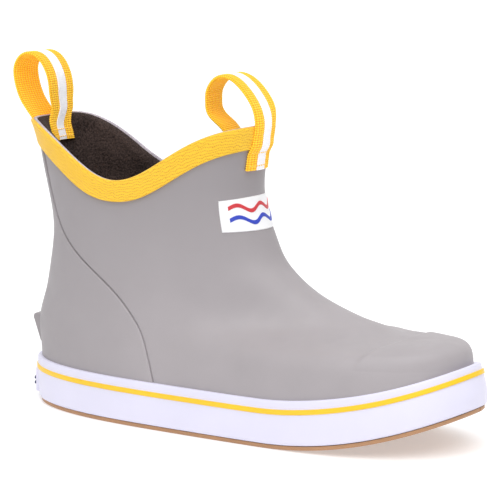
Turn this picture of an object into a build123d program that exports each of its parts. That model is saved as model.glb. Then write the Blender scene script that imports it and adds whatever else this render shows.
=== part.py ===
from build123d import *
import math
import os

import numpy as np

# A child's ankle deck boot, right foot: a slip-on rubber boot with a foxed cup sole,
# a taped collar and two webbing pull loops.
# +X points to the toe, +Y to the inner (big toe) side and +Z up.
# The origin lies on the ground plane, half way along the sole.

# ---- driving dimensions, mm ----
SOLE_LENGTH = 220.0
FOXING_T = 2.5
FOXING_TOP = 20.6
FOXING_TOE_RISE = -0.4
STRIPE_TOE_RISE = 0.5
GUM_T = 1.8
SOLE_CORE_TOP = 4.5
FILLER_TOP = 9.0
BOARD_TOP = 10.5
FOOTBED_TOP = 14.6
COVER_TOP = 15.6
SPRING_START = 138.0
SPRING_RISE = 17.6
RUBBER_T = 2.0
BACKING_T = 0.8
LINING_T = 2.0
OVERLAY_T = 0.5
BAND_HEIGHT = 9.5
BAND_T = 1.4
RIM_HEIGHT = 1.6
WEB_WIDTH = 18.0
WEB_T = 1.4
WEB_STRIPE = 6.4
STRIPE_T = 0.25
LABEL_T = 0.45

# Sections of the last from the ground up. Each is a level, or slightly tilted, closed oval:
# back x, back z, front x, front z, half-widths from heel to toe, sideways bend of the toe
# and hollow of the inner waist. x is measured from the back of the heel.
LAST = [
    [2.5, 0, 217.5, 0, 40, 40, 22, 46, 47, 4.2, 6],
    [2.5, 22, 213.8, 35, 40, 40, 22, 46.5, 47.5, 4.2, 6],
    [2, 38, 202, 43.6, 41, 37, 21, 35.8, 35.6, 5.4, 4],
    [6.3, 51, 173, 46.5, 41, 34, 29, 22.4, 23.3, 6.3, 2],
    [10, 64, 137, 62, 40, 30, 27, 24, 23, 1, 1],
    [12.8, 80, 122, 80, 40, 28, 26, 24, 28, 0, 0],
    [11, 95, 114.5, 99, 40, 26.5, 26, 26, 33, 0, 0],
    [7.2, 110, 115, 117, 40, 26, 27, 28, 38, 0, 0],
    [3, 126, 117.3, 134, 41, 29.5, 28, 31, 43, 0, 0],
    [-6, 137, 119, 145, 44, 31, 29, 34, 46, 0, 0],
]
TOP_LEVEL = len(LAST) - 1
WAIST_PLACE = 0.42
WAIST_SPREAD = 0.17
BEND_POWER = 2.2

# Side view curves, (x, z) from the back of the heel.
COLLAR = [(-22, 126.3), (-6, 126.8), (5, 128.9), (18, 125.7), (33, 116.9), (48, 108.1), (57, 106),
          (66, 107.2), (80, 114), (94, 122.4), (106, 128), (118, 131), (134, 132)]
SEAM = [(17.5, 140), (18, 122), (20, 98), (27, 82), (40, 70), (59, 57), (72, 43.5), (80, 28), (86, 0)]

# Free run of each webbing loop: centre line in the side view, from the outer leg, at the
# collar rim, over the top and down inside the shaft.
FRONT_ARCH = [(119.6, 132.8), (118.9, 135.7), (117.5, 138.7), (115.4, 141.6), (112.7, 144.5), (109.3, 147.5),
              (105.4, 149.8), (101.2, 150.6), (97.2, 149.4), (94, 146.8), (92.1, 143.3), (91.7, 139.6),
              (92.9, 135.8), (96, 131.9), (101, 127.6)]
REAR_ARCH = [(-1.5, 129.3), (-3.6, 132.4), (-5.8, 136), (-7.7, 140.2), (-8.9, 144.6), (-9.1, 149),
             (-7.5, 152.7), (-4.5, 154.9), (-1, 155.3), (2.4, 153.5), (5.2, 150.2), (7.1, 146.2),
             (8.2, 141), (8.7, 135.5), (9, 129.6)]

X0 = -SOLE_LENGTH / 2
X_MIN, X_MAX = -40.0, 260.0
HALF_SPAN = 60.0


def natural_spline(knots, values):
    """Natural cubic spline through values at knots, as a function."""
    knots, values = np.asarray(knots, float), np.asarray(values, float)
    step = np.diff(knots)
    count = len(knots)
    matrix, right = np.eye(count), np.zeros_like(values)
    for i in range(1, count - 1):
        matrix[i, i - 1:i + 2] = step[i - 1], 2 * (step[i - 1] + step[i]), step[i]
        right[i] = 6 * ((values[i + 1] - values[i]) / step[i] - (values[i] - values[i - 1]) / step[i - 1])
    bend = np.linalg.solve(matrix, right)

    def value(s):
        i = int(np.clip(np.searchsorted(knots, s) - 1, 0, count - 2))
        p, q = (knots[i + 1] - s) / step[i], (s - knots[i]) / step[i]
        curve = ((p**3 - p) * bend[i] + (q**3 - q) * bend[i + 1]) * step[i]**2 / 6
        return p * values[i] + q * values[i + 1] + curve

    return value


section_at = natural_spline(range(len(LAST)), LAST)
collar_z = natural_spline(*zip(*COLLAR))


def last_point(level, turn):
    """Point of the last: turn runs 0 to 2 from the heel along the outer side and back."""
    side = -1 if turn <= 1 else 1
    angle = math.pi * (turn if turn <= 1 else 2 - turn)
    back_x, back_z, front_x, front_z, *widths, bend, arch = section_at(level)
    along, across = (1 - math.cos(angle)) / 2, math.sin(angle)
    half = sum(math.comb(4, i) * along**i * (1 - along)**(4 - i) * w for i, w in enumerate(widths))
    y = side * half * across + bend * along**BEND_POWER
    if side > 0:
        y -= arch * across * math.exp(-((along - WAIST_PLACE) / WAIST_SPREAD)**2)
    return np.array([back_x + (front_x - back_x) * along, y, back_z + (front_z - back_z) * along])


def last_normal(level, turn):
    """Outward unit normal; on the two end sections it stays in the section's plane."""
    tiny = 1e-3
    round_way = last_point(level, (turn + tiny) % 2) - last_point(level, (turn - tiny) % 2)
    if level in (0, TOP_LEVEL):
        back, front = last_point(level, 0), last_point(level, 1)
        up_way = np.cross(front - back, [0, 1, 0]) * -1
        up_way *= math.copysign(1, up_way[2])
    else:
        up_way = last_point(level + tiny, turn) - last_point(level - tiny, turn)
    normal = np.cross(round_way, up_way)
    return normal / np.linalg.norm(normal)


LEVELS_PER_SECTION = 3
POINTS_ROUND = 36
bodies = {}


def oval(points):
    """Closed smooth curve; equal parameter steps keep neighbouring ovals alike."""
    steps = [i / len(points) for i in range(len(points) + 1)]
    return Wire([Edge.make_spline([Vector(*p) for p in points], periodic=True, parameters=steps)])


def last(grow):
    """Solid of the whole last, grown outward by grow."""
    if grow not in bodies:
        loops = []
        for i in range(TOP_LEVEL * LEVELS_PER_SECTION + 1):
            level = i / LEVELS_PER_SECTION
            turns = [2 * j / POINTS_ROUND for j in range(POINTS_ROUND)]
            loops.append(oval([last_point(level, t) + grow * last_normal(level, t) for t in turns]))
        bodies[grow] = Solid.make_loft(loops)
    return bodies[grow]


def column(grow):
    """Upright column on the plan of the sole, grown outward by grow."""
    turns = [2 * j / POINTS_ROUND for j in range(POINTS_ROUND)]
    points = [last_point(0, t) + grow * last_normal(0, t) for t in turns]
    return extrude(Face(oval([(p[0], p[1], -5) for p in points])), 50, dir=(0, 0, 1))


def sole_z(x):
    """Height of the ground face of the sole: level, then a parabola up to the toe."""
    return SPRING_RISE * max(0, (x - SPRING_START) / (SOLE_LENGTH - SPRING_START))**2


def sole_edges(height, toe_rise=0.0):
    """Side view edge of a sole layer at a height above the ground face, heel to toe."""
    joint = (SPRING_START, 0, height)
    flat = Edge.make_line((X_MIN, 0, height), joint)
    far = [SPRING_START + i * (X_MAX - SPRING_START) / 8 for i in range(9)]
    rise = [toe_rise * (x - SPRING_START) / (SOLE_LENGTH - SPRING_START) for x in far]
    points = [Vector(x, 0, sole_z(x) + height + r) for x, r in zip(far, rise)]
    return [flat, Edge.make_spline(points)]


def slab(lower, upper):
    """Everything between two side view edges, right across the boot."""
    start, end = lower[0] @ 0, lower[-1] @ 1
    high_start, high_end = upper[0] @ 0, upper[-1] @ 1
    sides = [Edge.make_line(end, high_end), Edge.make_line(high_start, start)]
    return extrude(Face(Wire(lower + upper + sides)), HALF_SPAN, dir=(0, 1, 0), both=True)


def collar_edges(drop):
    """Side view edge that runs a distance below the collar line, measured square to it."""
    points = []
    for i in range(25):
        x = COLLAR[0][0] + i * (COLLAR[-1][0] - COLLAR[0][0]) / 24
        slope = collar_z(x + 0.1) - collar_z(x - 0.1)
        points.append(Vector(x, 0, collar_z(x) - drop * math.hypot(1, slope / 0.2)))
    before = Edge.make_line((X_MIN, 0, points[0].Z), points[0])
    after = Edge.make_line(points[-1], (X_MAX, 0, points[-1].Z))
    return [before, Edge.make_spline(points), after]


def block(x, y, z):
    """Box from three (low, high) pairs."""
    size = [high - low for low, high in (x, y, z)]
    middle = [(high + low) / 2 for low, high in (x, y, z)]
    return Pos(*middle) * Box(*size)


def behind_seam():
    """Everything on the heel side of the rear quarter's seam."""
    curve = Edge.make_spline([Vector(x, 0, z) for x, z in SEAM])
    corners = [(SEAM[-1][0], 0, 0), (X_MIN, 0, 0), (X_MIN, 0, 140), (SEAM[0][0], 0, 140)]
    lines = [Edge.make_line(a, b) for a, b in zip(corners, corners[1:])]
    return extrude(Face(Wire([curve] + lines)), HALF_SPAN, dir=(0, 1, 0), both=True)


def ribbon(centres, inner, outer, width):
    """Strip of webbing along a side view line, between two distances outward from it."""
    hand = 1 if centres[0][0] < centres[-1][0] else -1
    path = Edge.make_spline([Vector(x, 0, z) for x, z in centres])
    near, far = [], []
    for i in range(33):
        place, way = path @ (i / 32), path % (i / 32)
        out = Vector(-way.Z, 0, way.X) * hand
        near.append(place + out * inner)
        far.append(place + out * outer)
    edges = [Edge.make_spline(near), Edge.make_line(near[-1], far[-1]), Edge.make_spline(far),
             Edge.make_line(far[0], near[0])]
    return extrude(Face(Wire(edges)), width / 2, dir=(0, 1, 0), both=True)


nodes = {}

# ---- upper: two rubber pieces, their backing and the lining ----
SHELL = slab(sole_edges(SOLE_CORE_TOP), collar_edges(RIM_HEIGHT))
INSIDE = slab(sole_edges(BOARD_TOP), collar_edges(RIM_HEIGHT))
rubber_in = last(-RUBBER_T)
backing_in = last(-RUBBER_T - BACKING_T)
lining_in = last(-RUBBER_T - BACKING_T - LINING_T)

heel_side = behind_seam()
nodes["rear_quarter"] = (last(OVERLAY_T) & SHELL & heel_side) - rubber_in
nodes["vamp_upper"] = (last(0) & SHELL) - rubber_in - heel_side

backing = (rubber_in & SHELL) - backing_in
TOE_CAP_R = 28.0
toe_space = block((162, X_MAX), (-HALF_SPAN, HALF_SPAN), (0, 70))
toe_space -= Pos(190 - TOE_CAP_R, 6, 35) * Cylinder(TOE_CAP_R, 80)
heel_space = block((X_MIN, 52), (-HALF_SPAN, HALF_SPAN), (0, 58))
nodes["toe_puff"] = backing & toe_space
nodes["heel_counter"] = backing & heel_space
nodes["upper_backing"] = backing - toe_space - heel_space
nodes["lining"] = (backing_in & INSIDE) - lining_in

RIM_SPACE = slab(collar_edges(RIM_HEIGHT), collar_edges(0))
nodes["collar_rim"] = (last(0) & RIM_SPACE) - backing_in
band_space = slab(collar_edges(BAND_HEIGHT), collar_edges(0))
nodes["collar_tape"] = (last(BAND_T) & band_space) - last(0) - nodes["rear_quarter"]

# ---- sole unit, from the ground up ----
gum = column(FOXING_T - 0.9) & slab(sole_edges(0), sole_edges(GUM_T))
gum += last(0) & slab(sole_edges(GUM_T), sole_edges(SOLE_CORE_TOP))
GROOVE_PITCH, GROOVE_W, GROOVE_DEPTH, GROOVE_LEAD = 9.0, 1.6, 1.2, 7.0
for i in range(22):
    x = 10 + i * GROOVE_PITCH
    chevron = [(x, -34), (x + GROOVE_LEAD, 0), (x, 34), (x + GROOVE_W, 34),
               (x + GROOVE_LEAD + GROOVE_W, 0), (x + GROOVE_W, -34)]
    plan = Face(Wire.make_polygon([(*p, -1) for p in chevron]))
    groove = extrude(plan, 1 + sole_z(x) + GROOVE_DEPTH, dir=(0, 0, 1))
    gum -= groove & column(-5)
nodes["outsole"] = gum

STRIPE_DROP, STRIPE_HEIGHT, STRIPE_PROUD = 3.6, 2.2, 0.2
foxing = column(FOXING_T) & slab(sole_edges(GUM_T), sole_edges(FOXING_TOP, FOXING_TOE_RISE))
foxing = foxing - last(0) - nodes["rear_quarter"]
stripe_top = FOXING_TOP - STRIPE_DROP
stripe_space = slab(sole_edges(stripe_top - STRIPE_HEIGHT, STRIPE_TOE_RISE),
                    sole_edges(stripe_top, STRIPE_TOE_RISE))
stripe = (column(FOXING_T + STRIPE_PROUD) & stripe_space) - column(FOXING_T - 0.6)
nodes["foxing"] = foxing - stripe
nodes["foxing_stripe"] = stripe
nodes["midsole_filler"] = backing_in & slab(sole_edges(SOLE_CORE_TOP), sole_edges(FILLER_TOP))
nodes["insole_board"] = backing_in & slab(sole_edges(FILLER_TOP), sole_edges(BOARD_TOP))
nodes["footbed"] = lining_in & slab(sole_edges(BOARD_TOP), sole_edges(FOOTBED_TOP))
nodes["footbed_cover"] = lining_in & slab(sole_edges(FOOTBED_TOP), sole_edges(COVER_TOP))

# ---- heel: kick tab on the quarter and the raised plate on the foxing ----
tab_side = [(6, 24.5), (1.8, 24.5), (-2.4, 35), (-1.7, 36.6), (6, 37.4)]
tab = extrude(Face(Wire.make_polygon([(x, 0, z) for x, z in tab_side])), 8, dir=(0, 1, 0), both=True)
nodes["heel_kick_tab"] = tab - last(OVERLAY_T)
badge_space = block((X_MIN, 30), (-11, 11), (2.8, 14.2))
nodes["heel_badge"] = (column(FOXING_T + 1.0) & badge_space) - column(FOXING_T)
marks_skin = (column(FOXING_T + 1.3) & badge_space) - column(FOXING_T + 1.0)
mark_bars = [marks_skin & block((X_MIN, 30), (-9.6, 9.6), (z, z + 1.2)) for z in (5.8, 8.6, 11.4)]
nodes["badge_marks"] = Compound(children=[bar for bars in mark_bars for bar in bars.solids()])

# ---- front label with a plain wave motif ----
LABEL_HALF, LABEL_LOW, LABEL_HIGH = 17.4, 86.0, 100.2
front_space = block((60, X_MAX), (-LABEL_HALF, LABEL_HALF), (LABEL_LOW, LABEL_HIGH))
nodes["front_label"] = (last(LABEL_T) & front_space) - last(0)


def wave(middle):
    """Flat wavy ribbon across the label, seen from the front."""
    crests = [Vector(60, y, middle + 1.3 * math.cos(y * math.pi / 6)) for y in range(-15, 16, 3)]
    low, high = [c - Vector(0, 0, 0.9) for c in crests], [c + Vector(0, 0, 0.9) for c in crests]
    edges = [Edge.make_spline(low), Edge.make_line(low[-1], high[-1]), Edge.make_spline(high),
             Edge.make_line(high[0], low[0])]
    return extrude(Face(Wire(edges)), 80, dir=(1, 0, 0))


label_skin = (last(LABEL_T + 0.25) & front_space) - last(LABEL_T)
nodes["label_wave_upper"] = label_skin & wave(95.6)
nodes["label_wave_lower"] = label_skin & wave(90.6)

# ---- webbing pull loops: sewn tails on the shaft and a free arch above the rim ----
half_web, half_stripe = WEB_WIDTH / 2, WEB_STRIPE / 2
FRONT_TAIL_LOW, FRONT_TAIL_TOP, FRONT_RIM = 110.6, 121.2, 131.2
REAR_TAIL_LOW, REAR_TAIL_TOP, REAR_RIM = 107.5, 118.0, 127.6
lining_depth = -RUBBER_T - BACKING_T - LINING_T
over_band = BAND_T + WEB_T


def strap(outer, inner, x, z, half):
    """Strip that lies on the shaft: the space between two grown lasts inside a window."""
    return (last(outer) & block(x, (-half, half), z)) - last(inner)


FRONT_X, REAR_X = (80, X_MAX), (X_MIN, 40)
nodes["front_strap_outer"] = (strap(WEB_T, 0, FRONT_X, (FRONT_TAIL_LOW, FRONT_TAIL_TOP), half_web)
                              + strap(over_band, BAND_T, FRONT_X, (FRONT_TAIL_TOP - 0.8, FRONT_RIM), half_web)
                              - nodes["collar_tape"])
nodes["rear_strap_outer"] = (strap(WEB_T + OVERLAY_T, OVERLAY_T, REAR_X, (REAR_TAIL_LOW, REAR_TAIL_TOP), half_web)
                             + strap(over_band, BAND_T, REAR_X, (REAR_TAIL_TOP - 0.8, REAR_RIM), half_web)
                             - nodes["collar_tape"])
nodes["front_strap_inner"] = strap(lining_depth, lining_depth - WEB_T, FRONT_X, (108, 119), half_web)
nodes["rear_strap_inner"] = strap(lining_depth, lining_depth - WEB_T, REAR_X, (117.5, 125.3), half_web)

for name, centres in (("front_loop", FRONT_ARCH), ("rear_loop", REAR_ARCH)):
    nodes[name] = ribbon(centres, -WEB_T / 2, WEB_T / 2, WEB_WIDTH)
    nodes[name + "_stripe"] = ribbon(centres, WEB_T / 2, WEB_T / 2 + STRIPE_T, WEB_STRIPE)


def stitch_rows(outer, inner, x, rows, stitches):
    """Rows of short stitches that lie on a strap."""
    skin_space = block(x, (-half_web, half_web), (rows[0] - 1, rows[-1] + 1))
    skin = (last(outer) & skin_space) - last(inner)
    pitch = (WEB_WIDTH - 2) / stitches
    pieces = []
    for z in rows:
        for i in range(stitches):
            y = -half_web + 1 + (i + 0.5) * pitch
            stitch = skin & block(x, (y - 0.36 * pitch, y + 0.36 * pitch), (z - 0.3, z + 0.3))
            pieces += stitch.solids()
    return Compound(children=pieces)


nodes["front_strap_stitches"] = stitch_rows(WEB_T + 0.3, WEB_T, FRONT_X, (113.4, 119.4), 8)
nodes["rear_strap_stitches"] = stitch_rows(WEB_T + OVERLAY_T + 0.3, WEB_T + OVERLAY_T, REAR_X, (110.2, 115.8), 8)

os.makedirs("parts", exist_ok=True)
for name, shape in nodes.items():
    moved = Pos(X0, 0, 0) * shape
    export_step(moved, f"parts/{name}.step")
    print(f"{name:24s} solids {len(moved.solids())} volume {moved.volume:9.1f} valid {moved.is_valid}")
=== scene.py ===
import math

import bmesh
import bpy
import numpy as np
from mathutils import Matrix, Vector


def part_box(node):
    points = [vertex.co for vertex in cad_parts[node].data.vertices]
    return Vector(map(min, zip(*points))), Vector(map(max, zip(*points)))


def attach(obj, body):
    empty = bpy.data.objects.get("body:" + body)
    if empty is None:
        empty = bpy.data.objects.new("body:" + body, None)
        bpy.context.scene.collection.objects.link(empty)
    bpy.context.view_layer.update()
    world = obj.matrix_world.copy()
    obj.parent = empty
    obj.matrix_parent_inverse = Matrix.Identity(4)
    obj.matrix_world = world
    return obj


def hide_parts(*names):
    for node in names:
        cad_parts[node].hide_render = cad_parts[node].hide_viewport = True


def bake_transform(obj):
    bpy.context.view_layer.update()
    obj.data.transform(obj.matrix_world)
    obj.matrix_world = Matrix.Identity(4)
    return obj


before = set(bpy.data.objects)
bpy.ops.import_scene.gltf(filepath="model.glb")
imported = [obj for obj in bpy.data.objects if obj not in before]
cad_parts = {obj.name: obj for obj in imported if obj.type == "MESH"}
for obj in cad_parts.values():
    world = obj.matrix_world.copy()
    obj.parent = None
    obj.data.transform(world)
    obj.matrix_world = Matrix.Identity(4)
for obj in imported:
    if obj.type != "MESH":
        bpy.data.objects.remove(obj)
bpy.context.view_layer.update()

scene = bpy.context.scene

# A child's ankle deck boot. Shapes are worked out in millimetres from the back of the heel
# on the ground, and placed in the row frame through the boxes of the CAD nodes.
FOXING_LOW, FOXING_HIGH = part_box("foxing")
SOLE_LENGTH = 220.0
UNIT = (FOXING_HIGH.x - FOXING_LOW.x) / SOLE_LENGTH
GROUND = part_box("outsole")[0].z
FOXING_T, FOXING_TOP, FOXING_TOE_RISE, STRIPE_TOE_RISE, GUM_T = 2.5, 20.6, 0.5, 0.8, 1.8
SPRING_START, SPRING_RISE = 138.0, 17.6
RUBBER_T, BACKING_T, LINING_T, OVERLAY_T = 2.0, 0.8, 2.0, 0.5
LINING_IN = -(RUBBER_T + BACKING_T + LINING_T)
BAND_HEIGHT, BAND_T = 9.5, 1.4
WEB_WIDTH, WEB_T, WEB_STRIPE, STRIPE_PROUD = 18.0, 1.4, 6.4, 0.28

# One row for each level of the last, from the sole to above the collar: back x, back z, front x, front z,
# five control values of the half-width from heel to toe, bend to the inner side, hollow of the waist.
LAST = [
    [2.5, 0, 217.5, 0, 40, 40, 22, 46, 47, 4.2, 6],
    [2.5, 22, 213.8, 35, 40, 40, 22, 46.5, 47.5, 4.2, 6],
    [2, 38, 202, 43.6, 41, 37, 21, 35.8, 35.6, 5.4, 4],
    [6.3, 51, 173, 46.5, 41, 34, 29, 22.4, 23.3, 6.3, 2],
    [10, 64, 137, 62, 40, 30, 27, 24, 23, 1, 1],
    [12.8, 80, 122, 80, 40, 28, 26, 24, 28, 0, 0],
    [11, 95, 114.5, 99, 40, 26.5, 26, 26, 33, 0, 0],
    [7.2, 110, 115, 117, 40, 26, 27, 28, 38, 0, 0],
    [3, 126, 117.3, 134, 41, 29.5, 28, 31, 43, 0, 0],
    [-6, 137, 119, 145, 44, 31, 29, 34, 46, 0, 0],
]
# x and height of the collar's top edge and of the side seam; centre lines of the two loops
COLLAR = [(-22, 126.3), (-6, 126.8), (5, 128.9), (18, 125.7), (33, 116.9), (48, 108.1), (57, 106),
          (66, 107.2), (80, 114), (94, 122.4), (106, 128), (118, 131), (134, 132)]
SEAM = [(12, 140), (13.8, 122), (19.4, 98), (27, 82), (40, 70), (59, 57), (72, 43.5), (80, 28), (86, 0)]
FRONT_ARCH = [(118.9, 132.8), (118.3, 135.7), (117.0, 138.7), (115.2, 141.6), (112.7, 144.7), (109.3, 147.9),
              (105.3, 150.3), (101.1, 151.1), (97.1, 149.9), (94, 147.1), (92.2, 143.4), (92, 139.6),
              (92.3, 136.4), (94.2, 133.4), (98.4, 130.6)]
REAR_ARCH = [(-1.5, 129.3), (-3.6, 132.4), (-5.8, 136), (-7.7, 140.2), (-8.9, 144.6), (-9.2, 149.2),
             (-7.7, 153.4), (-4.7, 156), (-1, 156.4), (2.6, 154.7), (5.4, 151.1), (7.2, 146.6),
             (8.2, 141), (8.5, 135.5)]


# ---- curves and the last ----
def natural_spline(knots, values):
    """Natural cubic spline through values at knots, for arrays."""
    knots, values = np.asarray(knots, float), np.asarray(values, float)
    step, count = np.diff(knots), len(knots)
    matrix, right = np.eye(count), np.zeros_like(values)
    for i in range(1, count - 1):
        matrix[i, i - 1:i + 2] = step[i - 1], 2 * (step[i - 1] + step[i]), step[i]
        right[i] = 6 * ((values[i + 1] - values[i]) / step[i] - (values[i] - values[i - 1]) / step[i - 1])
    bend = np.linalg.solve(matrix, right)

    def at(s):
        s = np.asarray(s, float)
        i = np.clip(np.searchsorted(knots, s) - 1, 0, count - 2)
        h = step[i]
        p = (knots[i + 1] - s) / h
        if values.ndim > 1:
            h, p = h[..., None], p[..., None]
        q = 1 - p
        curve = ((p**3 - p) * bend[i] + (q**3 - q) * bend[i + 1]) * h**2 / 6
        return p * values[i] + q * values[i + 1] + curve

    return at


section_at = natural_spline(range(len(LAST)), LAST)
collar_curve = natural_spline(*zip(*COLLAR))
seam_curve = natural_spline(*zip(*[(z, x) for x, z in reversed(SEAM)]))
TOP_LEVEL, COLLAR_LEVEL = len(LAST) - 1, 8


def last(level, turn):
    """Points of the last; turn runs 0 to 2 from the heel along the outer side and back."""
    level, turn = np.broadcast_arrays(np.clip(level, 0, TOP_LEVEL), np.mod(turn, 2.0))
    side = np.where(turn <= 1, -1.0, 1.0)
    angle = np.pi * np.where(turn <= 1, turn, 2 - turn)
    along, across = (1 - np.cos(angle)) / 2, np.sin(angle)
    row = section_at(level)
    half = sum(math.comb(4, i) * along**i * (1 - along)**(4 - i) * row[..., 4 + i] for i in range(5))
    y = side * half * across + row[..., 9] * along**2.2
    hollow = row[..., 10] * across * np.exp(-((along - 0.42) / 0.17)**2)
    y = y - np.where(side > 0, hollow, 0)
    x = row[..., 0] + (row[..., 2] - row[..., 0]) * along
    z = row[..., 1] + (row[..., 3] - row[..., 1]) * along
    return np.stack([x, y, z], -1)


def unit(v):
    """Vectors scaled to length one."""
    return v / np.maximum(np.linalg.norm(v, axis=-1, keepdims=True), 1e-12)


def outward(level, turn):
    """Outward normals of the last."""
    tiny = 1e-3
    round_way = last(level, turn + tiny) - last(level, turn - tiny)
    up_way = last(level + tiny, turn) - last(level - tiny, turn)
    return unit(np.cross(round_way, up_way))


def toe_share(x):
    """Share of the way from the start of the toe spring to the tip."""
    return np.maximum(0, (x - SPRING_START) / (SOLE_LENGTH - SPRING_START))


def sole_z(x):
    """Height of the sole line, which rises towards the toe."""
    return SPRING_RISE * toe_share(x)**2


def swell(x):
    """The foxing is a little taller ahead of the ball of the foot."""
    return 0.5 * np.exp(-((x - 168) / 24)**2)


def foxing_z(x, height):
    return sole_z(x) + height + (FOXING_TOE_RISE * toe_share(x) + swell(x)) * height / FOXING_TOP


def stripe_z(x, height):
    return sole_z(x) + height + STRIPE_TOE_RISE * toe_share(x) + 0.8 * swell(x)


def collar_height(x, drop):
    """Height of the line that runs a distance below the collar, measured square to it."""
    x = np.clip(x, COLLAR[0][0], COLLAR[-1][0])
    slope = (collar_curve(x + 0.1) - collar_curve(x - 0.1)) / 0.2
    return collar_curve(x) - drop * np.hypot(1, slope)


def level_where(turn, height):
    """Level at which the last reaches a height that depends on x."""
    turn = np.asarray(turn, float)
    low, high = np.zeros_like(turn), np.full_like(turn, TOP_LEVEL)
    for _ in range(36):
        middle = (low + high) / 2
        p = last(middle, turn)
        above = p[..., 2] > height(p[..., 0])
        high, low = np.where(above, middle, high), np.where(above, low, middle)
    return (low + high) / 2


def on_wall(y, z, front):
    """Level and turn of the last's front or rear wall at a given y and z."""
    y, z = np.broadcast_arrays(np.asarray(y, float), np.asarray(z, float))
    rows = np.array([row[3] if front else row[1] for row in LAST], float)
    level = np.interp(z, rows, np.arange(len(rows)))
    turn = 1 + y / 75 if front else -y / 75
    tiny = 1e-4
    for _ in range(12):
        p = last(level, turn)
        by_level, by_turn = (last(level + tiny, turn) - p) / tiny, (last(level, turn + tiny) - p) / tiny
        miss_y, miss_z = p[..., 1] - y, p[..., 2] - z
        det = by_level[..., 1] * by_turn[..., 2] - by_turn[..., 1] * by_level[..., 2]
        level = level - (miss_y * by_turn[..., 2] - miss_z * by_turn[..., 1]) / det
        turn = turn - (by_level[..., 1] * miss_z - by_level[..., 2] * miss_y) / det
    return level, turn


# ---- meshes ----
def place(points):
    """Millimetres from the heel to metres in the row frame."""
    points = np.asarray(points, float) * UNIT
    return points + np.array([FOXING_LOW.x, 0, GROUND])


def mesh_object(name, vertices, faces, uv=None, tight=40):
    """Smooth-shaded mesh object from row-frame vertices and quads, with outward normals."""
    mesh = bpy.data.meshes.new(name)
    mesh.vertices.add(len(vertices))
    mesh.vertices.foreach_set("co", np.asarray(vertices, np.float32).ravel())
    mesh.loops.add(faces.size)
    mesh.loops.foreach_set("vertex_index", faces.ravel().astype(np.int32))
    mesh.polygons.add(len(faces))
    mesh.polygons.foreach_set("loop_start", np.arange(0, faces.size, 4, dtype=np.int32))
    if uv is not None:
        layer = mesh.uv_layers.new(name="UVMap")
        layer.data.foreach_set("uv", uv.reshape(-1, 2).astype(np.float32).ravel())
    mesh.update(calc_edges=True)
    mesh.validate()
    work = bmesh.new()
    work.from_mesh(mesh)
    bmesh.ops.recalc_face_normals(work, faces=work.faces)
    work.to_mesh(mesh)
    work.free()
    mesh.polygons.foreach_set("use_smooth", np.ones(len(mesh.polygons), bool))
    mesh.set_sharp_from_angle(angle=math.radians(tight))
    piece = bpy.data.objects.new(name, mesh)
    scene.collection.objects.link(piece)
    return piece


def swept(name, loops, closed, u=None, v=None, tight=40):
    """Solid from closed cross-section loops, loops[point, station]: a ring if closed, else capped."""
    count, stations = loops.shape[:2]
    r, c = np.meshgrid(np.arange(count), np.arange(stations if closed else stations - 1), indexing="ij")
    corners = [(r, c), (r, c + 1), (r + 1, c + 1), (r + 1, c)]
    faces = np.stack([(a % count) * stations + b % stations for a, b in corners], -1).reshape(-1, 4)
    u = np.arange(stations + 1.0) if u is None else np.asarray(u, float)
    v = np.arange(count + 1.0) if v is None else np.asarray(v, float)
    u = np.append(u, u[-1]) if len(u) == stations else u
    uv = np.stack([np.stack([u[b], v[a]], -1) for a, b in corners], -2).reshape(-1, 4, 2)
    if not closed:
        k = np.arange(count // 2 - 1)
        pairs = [k, k + 1, count - 2 - k, count - 1 - k]
        for end in (0, stations - 1):
            cap = np.stack([p * stations + end for p in pairs], -1)
            faces = np.concatenate([faces, cap])
            cap_uv = np.stack([np.stack([np.full(len(k), u[end]), v[p]], -1) for p in pairs], -2)
            uv = np.concatenate([uv, cap_uv])
    return mesh_object(name, place(loops.reshape(-1, 3)), faces, uv, tight)


def run_length(points):
    """Distance along a line of points."""
    return np.concatenate([[0], np.cumsum(np.linalg.norm(np.diff(points, axis=0), axis=-1))])


def rounded(profile, arc_points=4):
    """Closed profile with each corner cut by a small arc; rows are x, y, corner radius."""
    points = []
    count = len(profile)
    for i, (x, y, r) in enumerate(profile):
        corner = np.array([x, y])
        before, after = np.array(profile[i - 1][:2]), np.array(profile[(i + 1) % count][:2])
        if r == 0:
            points.append(corner)
            continue
        start = corner + unit(before - corner) * r
        end = corner + unit(after - corner) * r
        for t in np.linspace(0, 1, arc_points + 1):
            points.append((1 - t)**2 * start + 2 * t * (1 - t) * corner + t**2 * end)
    return np.array(points)


def dense(profile, spacing):
    """Closed profile with points added along its long runs."""
    points = []
    for a, b in zip(profile, np.roll(profile, -1, axis=0)):
        steps = max(1, int(round(np.linalg.norm(b - a) / spacing)))
        points += [a + (b - a) * i / steps for i in range(steps)]
    return np.array(points)


def around(profile):
    """Distance round a closed profile, one value more than its points."""
    return run_length(np.vstack([profile, profile[:1]]))


TURNS = np.linspace(0, 2, 960, endpoint=False)
# The foxing leans in at the toe, more and more over 45 mm, and its foot is tucked in at the heel.
TOE_LEAN, TOE_LEAN_START, TOE_LEAN_RUN = 3.0, 165, 45
HEEL_TUCK, HEEL_TUCK_RUN = 1.6, 14
SIDEWALL_BEND = 7


def heel_share(x):
    """1 at the back of the heel, 0 ahead of the tucked stretch."""
    return np.clip((HEEL_TUCK_RUN - x) / HEEL_TUCK_RUN, 0, 1)


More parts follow.
